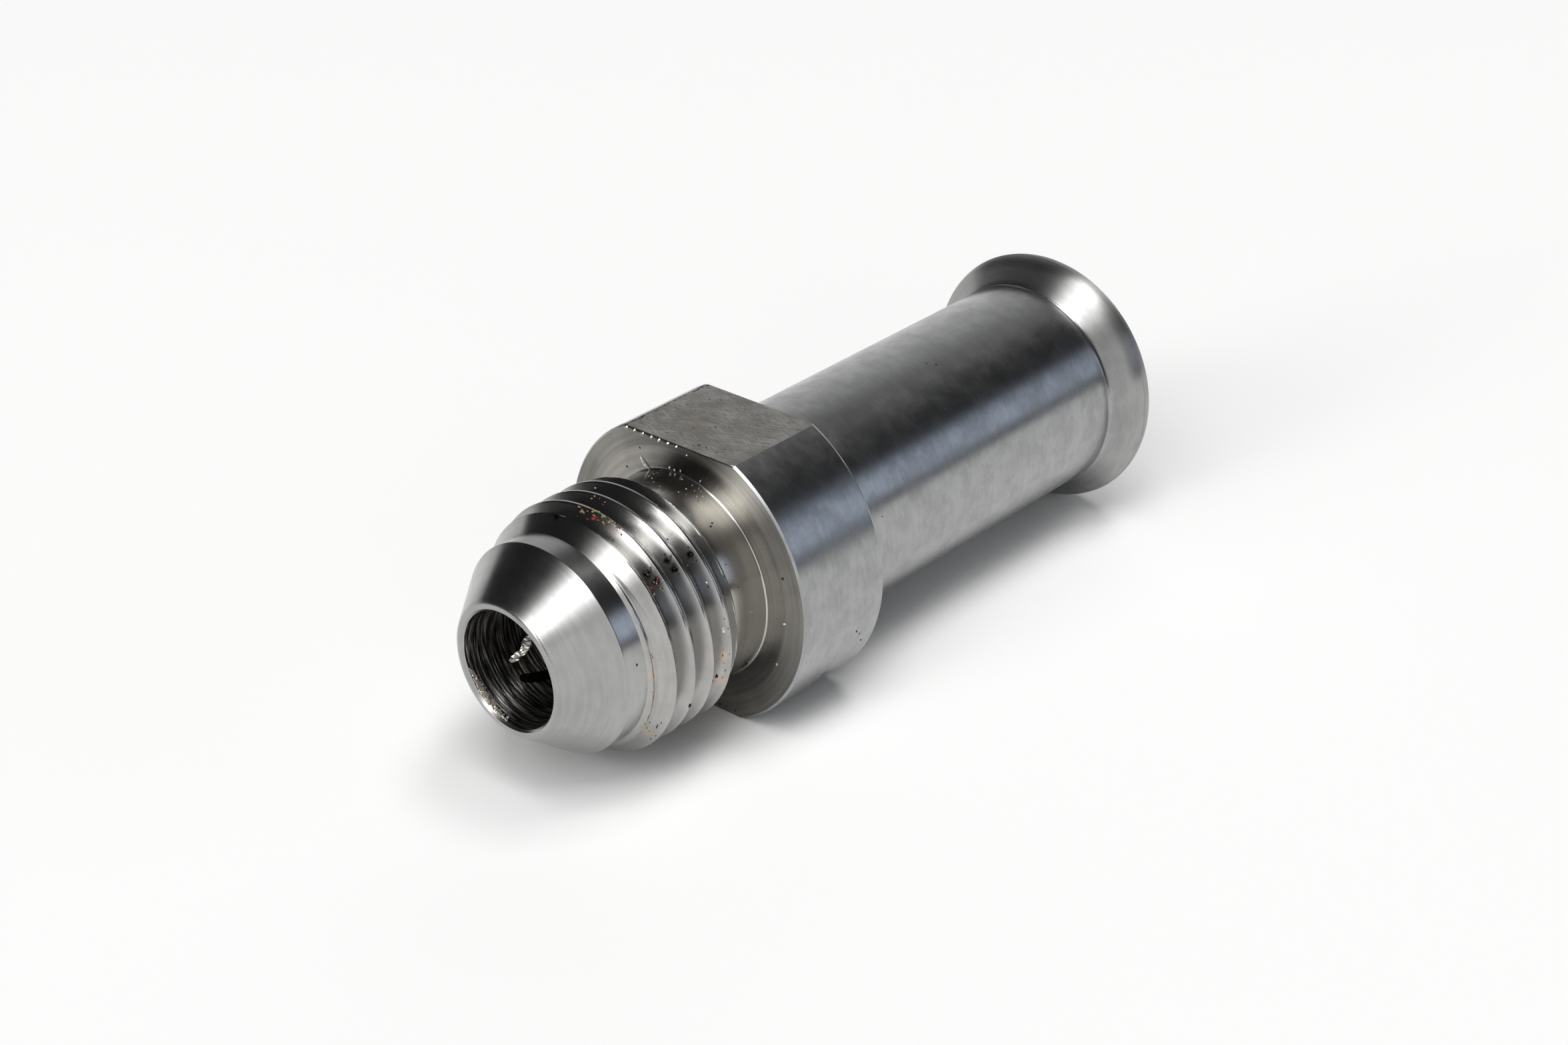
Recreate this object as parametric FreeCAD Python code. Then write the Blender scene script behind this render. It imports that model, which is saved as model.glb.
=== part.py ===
# Fuel line adapter fitting, turned from one stainless bar: a 37 degree flare
# nose with a right-hand 9/16-18 thread at the front, a round collar with two
# wrench flats, and a plain hose stem that ends in a bead.
#
# The fitting lies as it rests, on its lower wrench flat and its bead. +X runs
# from the flare nose to the hose end and +Z is up. The origin is the middle of
# its footprint, on the surface that it lies on.
import FreeCAD, Part
import math
import os

# Driving dimensions, in millimetres and degrees.
INCH = 25.4

# Passage through the whole fitting
bore_diameter = 6.8
nose_bore_chamfer = 0.15
hose_bore_chamfer = 0.35

# Flare nose: end rim, sealing cone and the plain land behind the cone
rim_diameter = 7.74
rim_edge_radius = 0.12
seat_half_angle = 37.0
seat_base_diameter = 12.2
land_length = 1.35

# External right-hand thread, chamfered at both ends
thread_diameter = 9.0 / 16.0 * INCH
thread_pitch = INCH / 18.0
thread_flank_angle = 30.0
thread_crest_length = 4.75
thread_chamfer_angle = 45.0

# Shares of the pitch: the flat on a crest and the depth of the groove
crest_share = 0.125
depth_share = 0.6134

# Place of one crest on top of the fitting, behind the nose
crest_on_top = 6.4

# How far the groove's cutter reaches out of the blank
cutter_clearance = 0.06

# Plain neck between the thread and the collar
neck_diameter = 12.3
nose_to_collar = 13.5

# Collar with two parallel wrench flats
collar_diameter = 17.85
collar_length = 6.5
across_flats = 0.625 * INCH
collar_front_chamfer = 0.12
collar_rear_chamfer = 0.06

# Hose stem and the bead that holds the hose
stem_diameter = 13.05
stem_length = 27.0
bead_ramp_angle = 45.0
bead_ramp_radius = 2.0
bead_crest_radius = 1.3

# The bead is turned to the same size as the flats, so that the fitting lies level
bead_diameter = across_flats

# Small facet that the turning tool leaves where a plain part meets the collar
corner_facet = 0.12

# Two outline points nearer than this are one point
same_point = 1e-6


def radius(diameter):
    return diameter / 2.0


def run(rise, angle):
    """Length along the axis that a slope needs to climb by rise."""
    return rise / math.tan(math.radians(angle))


def rounded(before, corner, after, corner_radius):
    """Start, middle and end of the arc that rounds a corner of the outline."""
    to_before = (before - corner).normalize()
    to_after = (after - corner).normalize()
    half_angle = to_before.getAngle(to_after) / 2.0
    reach = corner_radius / math.tan(half_angle)
    inward = (to_before + to_after).normalize()
    centre = corner + inward * (corner_radius / math.sin(half_angle))
    return corner + to_before * reach, centre - inward * corner_radius, corner + to_after * reach


def outline_wire(corners):
    """Closed outline through the corners, each an (x, r, corner radius)."""
    points = [FreeCAD.Vector(x, 0, r) for x, r, _ in corners]
    edges = []
    ends = []
    for i, (_, _, corner_radius) in enumerate(corners):
        if corner_radius > 0:
            start, middle, end = rounded(
                points[i - 1], points[i], points[(i + 1) % len(points)], corner_radius
            )
            edges.append(Part.Arc(start, middle, end).toShape())
            ends.append((start, end))
        else:
            ends.append((points[i], points[i]))
    for i in range(len(ends)):
        leave = ends[i][1]
        arrive = ends[(i + 1) % len(ends)][0]
        if leave.distanceToPoint(arrive) > same_point:
            edges.append(Part.LineSegment(leave, arrive).toShape())
    return Part.Wire(Part.__sortEdges__(edges))


def thread_places():
    """Distances from the nose: cone ends, land ends, crests start, crests end, neck starts."""
    thread = radius(thread_diameter)
    seat_base = radius(seat_base_diameter)
    seat_end = run(seat_base - radius(rim_diameter), seat_half_angle)
    land_end = seat_end + land_length
    crest_start = land_end + run(thread - seat_base, thread_chamfer_angle)
    crest_end = crest_start + thread_crest_length
    neck_start = crest_end + run(thread - radius(neck_diameter), thread_chamfer_angle)
    return seat_end, land_end, crest_start, crest_end, neck_start


def section_corners():
    """Half section of the turned blank, from the nose to the hose end and back."""
    bore = radius(bore_diameter)
    rim = radius(rim_diameter)
    seat_base = radius(seat_base_diameter)
    thread = radius(thread_diameter)
    neck = radius(neck_diameter)
    collar = radius(collar_diameter)
    stem = radius(stem_diameter)
    bead = radius(bead_diameter)

    seat_end, land_end, crest_start, crest_end, neck_start = thread_places()
    collar_start = nose_to_collar
    collar_end = collar_start + collar_length

    # The crest is fully round: its front blends into the ramp, its back into the end face
    overall_length = collar_end + stem_length
    crest_width = bead_crest_radius + bead_crest_radius * math.tan(math.radians(bead_ramp_angle / 2.0))
    ramp_top = overall_length - crest_width
    ramp_foot = ramp_top - run(bead - stem, bead_ramp_angle)

    return [
        (nose_bore_chamfer, bore, 0),
        (0.0, bore + nose_bore_chamfer, 0),
        (0.0, rim, rim_edge_radius),
        (seat_end, seat_base, 0),
        (land_end, seat_base, 0),
        (crest_start, thread, 0),
        (crest_end, thread, 0),
        (neck_start, neck, 0),
        (collar_start - corner_facet, neck, 0),
        (collar_start, neck + corner_facet, 0),
        (collar_start, collar - collar_front_chamfer, 0),
        (collar_start + collar_front_chamfer, collar, 0),
        (collar_end - collar_rear_chamfer, collar, 0),
        (collar_end, collar - collar_rear_chamfer, 0),
        (collar_end, stem + corner_facet, 0),
        (collar_end + corner_facet, stem, 0),
        (ramp_foot, stem, bead_ramp_radius),
        (ramp_top, bead, bead_crest_radius),
        (overall_length, bead, bead_crest_radius),
        (overall_length, bore + hose_bore_chamfer, 0),
        (overall_length - hose_bore_chamfer, bore, 0),
    ], overall_length


def turned_blank(corners):
    """The blank as it leaves the lathe, round all over, with its axis on X."""
    section = Part.Face(outline_wire(corners))
    return section.revolve(FreeCAD.Vector(0, 0, 0), FreeCAD.Vector(1, 0, 0), 360)


def thread_groove():
    """Helical groove between the crests, running out past both chamfers of the thread."""
    crest = radius(thread_diameter)
    root = crest - depth_share * thread_pitch
    outside = crest + cutter_clearance
    slope = math.tan(math.radians(thread_flank_angle))
    half_at_crest = thread_pitch * (1.0 - crest_share) / 2.0
    half_at_root = half_at_crest - (crest - root) * slope
    half_outside = half_at_crest + (outside - crest) * slope
    groove_section = Part.makePolygon(
        [
            FreeCAD.Vector(root, 0, -half_at_root),
            FreeCAD.Vector(outside, 0, -half_outside),
            FreeCAD.Vector(outside, 0, half_outside),
            FreeCAD.Vector(root, 0, half_at_root),
            FreeCAD.Vector(root, 0, -half_at_root),
        ]
    )

    # The helix starts on the +Y side, a quarter turn before the top, ahead of the land's end
    _, land_end, _, _, neck_start = thread_places()
    beside_top = crest_on_top + thread_pitch / 4.0
    turns_back = math.ceil((beside_top - land_end) / thread_pitch + 0.5)
    start = beside_top - turns_back * thread_pitch
    height = neck_start + thread_pitch / 2.0 - start
    helix = Part.makeHelix(thread_pitch, height, crest)
    groove = Part.Wire(helix).makePipeShell([groove_section], True, True)

    # It was swept up Z from +X: one turn about (1, 1, 1) takes Z to X and X to Y
    groove.Placement = FreeCAD.Placement(
        FreeCAD.Vector(start, 0, 0), FreeCAD.Rotation(FreeCAD.Vector(1, 1, 1), 120)
    )
    return groove


def flat_cutter(side):
    """Block that mills one wrench flat, above the axis for side 1, below for side -1."""
    depth = collar_diameter
    block = Part.makeBox(
        collar_length,
        2.0 * collar_diameter,
        depth,
        FreeCAD.Vector(nose_to_collar, -collar_diameter, radius(across_flats)),
    )
    if side < 0:
        block.rotate(FreeCAD.Vector(0, 0, 0), FreeCAD.Vector(1, 0, 0), 180)
    return block


def adapter_body():
    corners, overall_length = section_corners()
    body = turned_blank(corners).cut(thread_groove())
    for side in (1, -1):
        body = body.cut(flat_cutter(side))
    body.translate(FreeCAD.Vector(-overall_length / 2.0, 0, radius(across_flats)))
    return body


os.makedirs("parts", exist_ok=True)
body = adapter_body()
body.exportStep("parts/adapter_body.step")

print("solids", len(body.Solids), "valid", body.isValid(), "volume", round(body.Volume, 2))
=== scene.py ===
"""Looks of a turned steel fuel line adapter fitting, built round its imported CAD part.

The fitting lies along X: its flare nose points to -X and its hose end to +X. It rests on the floor, so the
axis of its passage runs at half the width across its wrench flats.
"""

import math
import random

import bmesh
import bpy
from mathutils import Euler, Matrix, Vector, noise


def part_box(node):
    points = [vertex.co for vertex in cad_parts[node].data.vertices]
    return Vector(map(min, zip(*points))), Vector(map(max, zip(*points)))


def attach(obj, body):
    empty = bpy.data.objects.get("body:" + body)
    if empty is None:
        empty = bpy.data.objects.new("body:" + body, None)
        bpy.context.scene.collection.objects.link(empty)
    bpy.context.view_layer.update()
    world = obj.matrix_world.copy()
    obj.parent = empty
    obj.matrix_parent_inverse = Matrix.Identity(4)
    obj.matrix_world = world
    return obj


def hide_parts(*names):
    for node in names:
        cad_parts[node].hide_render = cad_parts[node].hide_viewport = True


bl_info = {
    "name": "Turned hose adapter fitting",
    "version": (1, 0, 0),
    "blender": (4, 5, 0),
    "location": "3D View > Sidebar > Fitting",
    "description": "Builds a flare to hose adapter fitting with its thread, tool marks, burrs and swarf",
    "category": "Add Mesh",
}

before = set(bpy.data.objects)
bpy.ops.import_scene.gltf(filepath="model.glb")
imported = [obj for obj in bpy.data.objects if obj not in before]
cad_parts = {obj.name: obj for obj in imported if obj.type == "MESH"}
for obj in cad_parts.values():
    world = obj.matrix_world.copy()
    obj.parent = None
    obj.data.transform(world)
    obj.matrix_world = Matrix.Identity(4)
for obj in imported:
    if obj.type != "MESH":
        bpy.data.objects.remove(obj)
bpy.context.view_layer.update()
NODE = "adapter_body"
NODE_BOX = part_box(NODE)
NOSE_X = NODE_BOX[0].x
AXIS_Z = (NODE_BOX[0].z + NODE_BOX[1].z) / 2
OVERALL = NODE_BOX[1].x - NODE_BOX[0].x

MM = 0.001
INCH = 0.0254


def length(name, description, default):
    """A size that a user may change."""
    return bpy.props.FloatProperty(
        name=name, description=description, default=default, min=0.0, precision=5, unit="LENGTH"
    )


def angle(name, description, degrees):
    """An angle that a user may change."""
    return bpy.props.FloatProperty(
        name=name, description=description, default=math.radians(degrees), unit="ROTATION"
    )


def share(name, description, default):
    """A plain number that a user may change."""
    return bpy.props.FloatProperty(
        name=name, description=description, default=default, min=0.0, max=1.0, subtype="FACTOR"
    )


def colour(name, description, default):
    """A colour that a user may change."""
    return bpy.props.FloatVectorProperty(
        name=name, description=description, default=default, size=3, min=0.0, max=1.0, subtype="COLOR"
    )


class FittingSizes(bpy.types.PropertyGroup):
    """Sizes of the turned body."""

    bore: length("Bore", "Diameter of the passage", 6.8 * MM)
    nose_bore_chamfer: length("Nose bore chamfer", "Chamfer of the bore in the nose", 0.15 * MM)
    hose_bore_chamfer: length("Hose bore chamfer", "Chamfer of the bore in the hose end", 0.35 * MM)
    rim: length("Nose rim", "Diameter of the flat rim of the nose", 7.74 * MM)
    rim_round: length("Rim round", "Round on the outer edge of the rim", 0.44 * MM)
    seat_base: length("Seat base", "Diameter of the flare seat where it meets the land", 12.2 * MM)
    seat_angle: angle("Seat half angle", "Angle of the flare seat from the axis", 37.0)
    land: length("Land", "Length of the plain land behind the seat", 1.35 * MM)
    thread: length("Thread diameter", "Outside diameter of the thread", 0.5625 * INCH)
    pitch: length("Thread pitch", "Distance from crest to crest", INCH / 18)
    root: length("Thread root", "Diameter at the bottom of the thread", 12.56 * MM)
    first_crest: length("First crest", "Place of a crest on top, from the nose", 6.40 * MM)
    crest_length: length("Crest length", "Length of thread with full crests", 4.75 * MM)
    neck: length("Neck", "Diameter of the relief behind the thread", 12.3 * MM)
    nose_to_collar: length("Nose to collar", "From the nose to the collar's front face", 13.5 * MM)
    collar: length("Collar", "Diameter of the round collar", 17.85 * MM)
    collar_length: length("Collar length", "Length of the collar", 6.5 * MM)
    across_flats: length("Across flats", "Distance between the two wrench flats", 0.625 * INCH)
    front_chamfer: length("Front chamfer", "Chamfer on the collar's front edge", 0.12 * MM)
    rear_chamfer: length("Rear chamfer", "Depth of the slim chamfer on the collar's rear edge", 0.08 * MM)
    stem: length("Stem", "Diameter of the hose stem", 13.05 * MM)
    bead: length("Bead", "Diameter of the bead that holds the hose", 0.625 * INCH)
    bead_crest: length("Bead crest", "Radius of the bead's crest", 1.3 * MM)
    ramp_round: length("Ramp round", "Radius where the bead's ramp leaves the stem", 0.55 * MM)
    ramp_angle: angle("Ramp angle", "Slope of the bead's ramp from the axis", 54.0)
    tool_nose: length("Tool nose", "Radius that the tool leaves in inner corners", 0.13 * MM)


class FittingFinish(bpy.types.PropertyGroup):
    """Colours and finish of the metal and of what lies on it."""

    steel: colour("Steel", "Colour of the bare turned steel", (0.415, 0.415, 0.408))
    nose_roughness: share("Nose roughness", "How rough the flare nose is", 0.22)
    thread_roughness: share("Thread roughness", "How rough the thread is", 0.22)
    neck_roughness: share("Neck roughness", "How rough the neck behind the thread is", 0.18)
    bead_roughness: share("Bead roughness", "How rough the bead is", 0.38)
    stem_roughness: share("Stem roughness", "How rough the collar and the hose stem are", 0.25)
    face_roughness: share("Face roughness", "How rough the faced shoulders are", 0.43)
    film: colour("Oil film", "Colour of the dry oil film on the milled flats", (0.27, 0.25, 0.22))
    bore: colour("Bore", "Colour of the drilled passage", (0.66, 0.64, 0.61))
    grime: colour("Grime", "Colour of the dark specks", (0.012, 0.011, 0.010))
    rust: colour("Rust", "Colour of the red specks in the thread", (0.34, 0.018, 0.014))
    tan: colour("Tan", "Colour of the tan specks and stains", (0.40, 0.28, 0.14))


class StageSettings(bpy.types.PropertyGroup):
    """Floor, lamps and camera."""

    floor: colour("Floor", "Colour of the floor", (0.92, 0.92, 0.92))
    surroundings: colour("Surroundings", "Colour of the dim room", (0.02, 0.02, 0.021))
    camera_angle: bpy.props.FloatVectorProperty(
        name="Camera angle",
        description="Turn of the camera",
        default=[math.radians(a) for a in (61.4598, 1.6388, -47.9344)],
        size=3,
        subtype="EULER",
    )
    camera_place: bpy.props.FloatVectorProperty(
        name="Camera place",
        description="Where the camera stands",
        default=(-107.289 * MM, -98.194 * MM, 85.972 * MM),
        size=3,
        precision=5,
        subtype="TRANSLATION",
        unit="LENGTH",
    )
    lens: bpy.props.FloatProperty(
        name="Lens", description="Focal length in millimetres on a 36 mm sensor", default=65.82
    )


# Stains of each finish, and on the bore a painted light patch: x from the nose, degrees, radius and size in
# mm, colour
STAINS_AND_LIT_PATCH = {
    "stem": (
        (16.9, 127.0, 8.925, 0.55, (0.13, 0.075, 0.035)),
        (17.6, 129.0, 8.925, 0.30, (0.16, 0.10, 0.05)),
        (32.83, 18.8, 6.525, 0.16, (0.14, 0.11, 0.08)),
        (32.44, 15.3, 6.525, 0.12, (0.14, 0.11, 0.08)),
        (30.47, 26.3, 6.525, 0.12, (0.62, 0.62, 0.60)),
    ),
    "thread": (
        (6.20, 44.0, 6.65, 0.45, (0.020, 0.014, 0.010)),
        (6.34, 49.0, 6.80, 0.45, (0.035, 0.020, 0.012)),
        (7.70, 43.0, 6.75, 0.40, (0.016, 0.012, 0.010)),
        (7.75, 48.0, 6.80, 0.40, (0.022, 0.014, 0.010)),
        (9.12, 45.6, 6.80, 0.42, (0.016, 0.012, 0.010)),
        (5.04, -6.9, 6.80, 0.34, (0.25, 0.08, 0.07)),
        (4.60, 90.0, 6.27, 0.50, (0.52, 0.44, 0.37)),
        (5.11, 129.0, 6.61, 0.80, (0.52, 0.45, 0.36)),
        (9.31, 97.0, 6.78, 0.60, (0.55, 0.46, 0.38)),
        (9.41, 112.0, 6.88, 0.60, (0.55, 0.46, 0.38)),
    ),
    # a painted light patch: the bore wall lit lighter round the sliver
    "bored": ((3.70, -138.0, 3.40, 2.20, (0.95, 0.88, 0.76)),),
}
# Place along, degrees and size in mm of each single speck on the thread
THREAD_SPECKS = (
    ("dark", (6.84, 113, 0.30), (9.28, 110, 0.24), (9.2, 62, 0.14), (5.66, 32, 0.2), (5.63, 39, 0.16)),
    ("rust", (6.19, 7.3, 0.26), (6.24, 8.2, 0.16), (6.11, 50.2, 0.16), (6.34, 48.9, 0.14), (7.1, 47, 0.14)),
    ("tan", (6.19, 0.0, 0.18), (6.32, 5.4, 0.16), (6.38, 10.9, 0.2), (6.36, 15.1, 0.18), (6.37, 19.1, 0.16)),
    ("bright", (9.34, 83, 0.28), (9.2, 60, 0.12), (10.04, 23, 0.1), (8.58, 6.4, 0.1), (8.9, -15.5, 0.1)),
)
# Kind and count of each bunch on the thread, then its ranges along, in degrees and of size in mm
BUNCHES = (
    ("dark", 26, (5.2, 10.2), (-25, 55), (0.05, 0.13)),
    ("dark", 16, (6.0, 6.4), (41, 53), (0.08, 0.18)),
    ("dark", 12, (7.6, 7.85), (40, 51), (0.08, 0.18)),
    ("dark", 9, (9.0, 9.25), (42, 50), (0.08, 0.16)),
    ("tan", 8, (6.0, 6.4), (43, 55), (0.05, 0.12)),
    ("tan", 6, (7.5, 7.7), (-6, 2), (0.05, 0.14)),
    ("dark", 18, (8.6, 10.2), (40, 120), (0.04, 0.12)),
    ("tan", 30, (6.1, 6.55), (-4, 22), (0.06, 0.15)),
    ("dark", 16, (6.0, 6.6), (-4, 22), (0.06, 0.15)),
    ("rust", 7, (6.0, 6.4), (2, 55), (0.05, 0.12)),
    ("bright", 16, (7.5, 10.3), (-25, 60), (0.04, 0.08)),
)
# The brown line and the dirt low on the right
LOW_BUNCHES = (
    ("tan", 30, (4.50, 4.70), (76, 126), (0.05, 0.10)),
    ("tan", 10, (9.20, 9.50), (86, 118), (0.05, 0.12)),
    ("dark", 9, (4.9, 5.6), (118, 134), (0.06, 0.16)),
)
# Radius, degrees and size in mm of each single speck on the collar's front face
FACE_SPECKS = (
    ("dark", (6.68, -37.7, 0.13), (7.43, -23.8, 0.12), (7.72, 72.8, 0.18), (7.98, 163.6, 0.12)),
    ("dark", (7.97, 167.5, 0.12), (8.11, 160.1, 0.10), (8.36, 155.8, 0.10)),
    ("bright", (6.30, -3.7, 0.12), (6.35, -7.0, 0.12), (6.38, 0.5, 0.10), (7.53, 4.5, 0.09)),
    ("bright", (6.41, 13.7, 0.09), (7.43, 94.2, 0.17), (7.50, 116.4, 0.13), (6.41, -24.4, 0.14)),
)
# Columns round the turned surfaces, spun as equal wedges, and rows along one turn of the thread
COLUMNS = 192
WEDGES = 8
THREAD_ROWS = 48
# The longest step of an arc, the angle from which an edge is shaded sharp, and the reach that joins points
ARC_STEP = math.radians(9)
SHARP_ANGLE = math.radians(26)
WELD = 2e-6
# A plane that cuts a mesh takes points this near as lying on it
ON_PLANE = 1e-8
# The thread's flanks from square to the axis, its flat crest as a share of the pitch, and its two rounds
FLANK_ANGLE = math.radians(30)
CREST_SHARE = 1 / 8
CREST_BLEND = 0.06 * MM
ROOT_BLEND = 0.16 * MM
# The seam between the thread's strip and the rest, and half the turn from the bead's crest to a plain ramp
SEAM = 0.02 * MM
BEAD_HALF_TURN = math.radians(22.5)
# Between these lie nearly all values of a noise texture
NOISE_LOW, NOISE_HIGH = 0.36, 0.64
FLOOR_RADIUS = 1.8
LAMP_DISTANCE = 3.0
LAMP_TINT = (1.0, 0.995, 0.985)
# Each lamp: azimuth, elevation, the angles that it fills, all in degrees, and its radiance
LAMPS = {
    "key_box": (-104, 46, 27, 25, 3.2),
    "low_strip": (-83, 22, 17, 28, 4.6),
    "top_box": (-138, 73, 30, 30, 5.0),
    "rear_box": (120, 70.5, 24, 15, 6.5),
}
BODY = "root"
FINISHES = ("nose", "thread", "neck", "faced", "stem", "bead", "bored", "milled")


# Meshes


def add_piece(name, bm, materials, smooth=True):
    """Makes a bmesh into a piece of the fitting that rides on the body."""
    for edge in bm.edges:
        edge.smooth = smooth and len(edge.link_faces) == 2 and edge.calc_face_angle(0.0) < SHARP_ANGLE
    for face in bm.faces:
        face.smooth = smooth
    mesh = bpy.data.meshes.new(name)
    bm.to_mesh(mesh)
    bm.free()
    for material in materials:
        mesh.materials.append(material)
    piece = bpy.data.objects.new(name, mesh)
    bpy.context.scene.collection.objects.link(piece)
    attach(piece, BODY)
    return piece


def turned_outline(corners):
    """Points of a turned outline from (x, radius, round) corners, each round cut as an arc."""
    support = 0.02 * MM
    places = [Vector(corner[:2]) for corner in corners]
    backs = [0.0] * len(corners)
    for i in range(1, len(corners) - 1):
        opening = (places[i - 1] - places[i]).angle(places[i + 1] - places[i])
        backs[i] = corners[i][2] / math.tan(opening / 2)
    points = []
    for i, place in enumerate(places):
        if not backs[i]:
            points.append(place)
            continue
        to_last = (places[i - 1] - place).normalized()
        to_next = (places[i + 1] - place).normalized()
        opening = to_last.angle(to_next)
        centre = place + (to_last + to_next).normalized() * corners[i][2] / math.sin(opening / 2)
        start, end = place + to_last * backs[i], place + to_next * backs[i]
        turn = math.pi - opening
        steps = max(2, math.ceil(turn / ARC_STEP))
        if (places[i - 1] - place).length - backs[i - 1] - backs[i] > 3 * support:
            points.append(start + to_last * support)
        for step in range(steps + 1):
            part = step / steps
            arm = (start - centre) * math.sin((1 - part) * turn) + (end - centre) * math.sin(part * turn)
            points.append(centre + arm / math.sin(turn))
        if (places[i + 1] - place).length - backs[i + 1] - backs[i] > 3 * support:
            points.append(end + to_next * support)
    kept = points[:1]
    for point in points[1:]:
        if (point - kept[-1]).length > WELD:
            kept.append(point)
    return kept


def spin_outline(bm, points, advance=0.0):
    """Spins an outline of (x from the nose, radius) points once round the axis, along by advance."""
    vertices = [bm.verts.new((NOSE_X + x, 0.0, AXIS_Z + radius)) for x, radius in points]
    edges = [bm.edges.new(pair) for pair in zip(vertices, vertices[1:])]
    round_axis = {"cent": (0.0, 0.0, AXIS_Z), "axis": (1.0, 0.0, 0.0)}
    bmesh.ops.spin(
        bm,
        geom=vertices + edges,
        dvec=(advance / COLUMNS, 0.0, 0.0),
        angle=math.tau / WEDGES,
        steps=COLUMNS // WEDGES,
        **round_axis,
    )
    bmesh.ops.spin(
        bm,
        geom=bm.verts[:] + bm.edges[:] + bm.faces[:],
        dvec=(advance / WEDGES, 0.0, 0.0),
        angle=math.tau * (1 - 1 / WEDGES),
        steps=WEDGES - 1,
        use_duplicate=True,
        **round_axis,
    )
    bmesh.ops.remove_doubles(bm, verts=bm.verts, dist=WELD)


def open_edges(bm, x):
    """The open edges near a plane across the axis, at x from the nose."""
    reach = 0.3 * MM
    found = [edge for edge in bm.edges if edge.is_boundary]
    return [e for e in found if abs((e.verts[0].co.x + e.verts[1].co.x) / 2 - NOSE_X - x) < reach]


def smooth_max(a, b, blend):
    """The larger of two numbers with the corner between them rounded."""
    part = max(blend - abs(a - b), 0.0) / blend
    return max(a, b) + part * part * blend / 4


def seat_end(sizes):
    """Where the flare seat meets the land, from the nose."""
    return (sizes.seat_base - sizes.rim) / 2 / math.tan(sizes.seat_angle)


def thread_span(sizes):
    """Where the land ends and where the neck starts, from the nose."""
    land_end = seat_end(sizes) + sizes.land
    crest_end = land_end + (sizes.thread - sizes.seat_base) / 2 + sizes.crest_length
    return land_end, crest_end + (sizes.thread - sizes.neck) / 2


def thread_radius(sizes, x, turn=0.0):
    """The unchamfered thread's radius at x from the nose, turn radians from the top towards -Y."""
    along = (x - sizes.first_crest) / sizes.pitch - turn / math.tau
    from_crest = abs(along - round(along)) * sizes.pitch
    flank = sizes.thread / 2 - (from_crest - sizes.pitch * CREST_SHARE / 2) / math.tan(FLANK_ANGLE)
    below_crest = -smooth_max(-flank, -sizes.thread / 2, CREST_BLEND)
    return smooth_max(below_crest, sizes.root / 2, ROOT_BLEND)


def chamfer_radius(sizes, x):
    """The largest radius that the chamfers at both ends leave the thread."""
    land_end, neck_start = thread_span(sizes)
    return min(sizes.seat_base / 2 + x - land_end, sizes.neck / 2 + neck_start - x)


def cut_away(bm, geometry, place, way):
    """Cuts off what lies beyond a plane."""
    bmesh.ops.bisect_plane(bm, geom=geometry, dist=ON_PLANE, plane_co=place, plane_no=way, clear_outer=True)


def cut_thread(bm, sizes):
    """A right-hand thread as one spun strip, cut square at both ends and chamfered there."""
    land_end, neck_start = thread_span(sizes)
    start = sizes.first_crest - sizes.pitch * math.ceil((sizes.first_crest - land_end) / sizes.pitch + 1)
    turns = math.ceil((neck_start - start) / sizes.pitch) + 1
    rows = [start + row * sizes.pitch / THREAD_ROWS for row in range(turns * THREAD_ROWS + 1)]
    spin_outline(bm, [(x, thread_radius(sizes, x)) for x in rows], sizes.pitch)
    for x, way in ((land_end, -1.0), (neck_start, 1.0)):
        cut_away(bm, bm.verts[:] + bm.edges[:] + bm.faces[:], (NOSE_X + x, 0.0, 0.0), (way, 0.0, 0.0))
    for vertex in bm.verts:
        arm = Vector((0.0, vertex.co.y, vertex.co.z - AXIS_Z))
        limit = chamfer_radius(sizes, vertex.co.x - NOSE_X)
        if arm.length > limit:
            arm *= limit / arm.length
            vertex.co.y, vertex.co.z = arm.y, arm.z + AXIS_Z


def mill_flats(bm, sizes):
    """Cuts the two wrench flats off the collar and closes them."""
    front = NOSE_X + sizes.nose_to_collar
    rear = front + sizes.collar_length
    slack = 0.005 * MM
    for way in (1.0, -1.0):
        faces = [
            face
            for face in bm.faces
            if all(front - slack < v.co.x < rear + slack for v in face.verts)
            and any(way * (v.co.z - AXIS_Z) > sizes.across_flats / 2 for v in face.verts)
        ]
        # dict.fromkeys keeps each vertex and edge once, in order
        vertices = list(dict.fromkeys(v for face in faces for v in face.verts))
        edges = list(dict.fromkeys(e for face in faces for e in face.edges))
        level = AXIS_Z + way * sizes.across_flats / 2
        cut_away(bm, vertices + edges + faces, (0.0, 0.0, level), (0.0, 0.0, way))
        rim = [edge for edge in bm.edges if edge.is_boundary]
        for face in bmesh.ops.holes_fill(bm, edges=rim, sides=0)["faces"]:
            face.material_index = FINISHES.index("milled")


def share_finishes(bm, sizes):
    """Gives each turned face the finish of its zone."""
    land_end, neck_start = thread_span(sizes)
    slack = 0.02 * MM
    shoulder = sizes.nose_to_collar - slack
    bore_wall = sizes.bore / 2 + slack
    bead_start = OVERALL - 2.2 * sizes.bead_crest
    for face in bm.faces:
        centre = face.calc_center_median()
        x, radius = centre.x - NOSE_X, Vector((centre.y, centre.z - AXIS_Z)).length
        if radius < bore_wall:
            finish = "bored"
        elif x < land_end:
            finish = "nose"
        elif x < shoulder:
            finish = "thread" if x < neck_start else "neck"
        elif x > bead_start:
            finish = "bead"
        elif abs(face.normal.x) > 0.95:
            finish = "faced"
        else:
            finish = "stem"
        face.material_index = FINISHES.index(finish)


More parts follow.
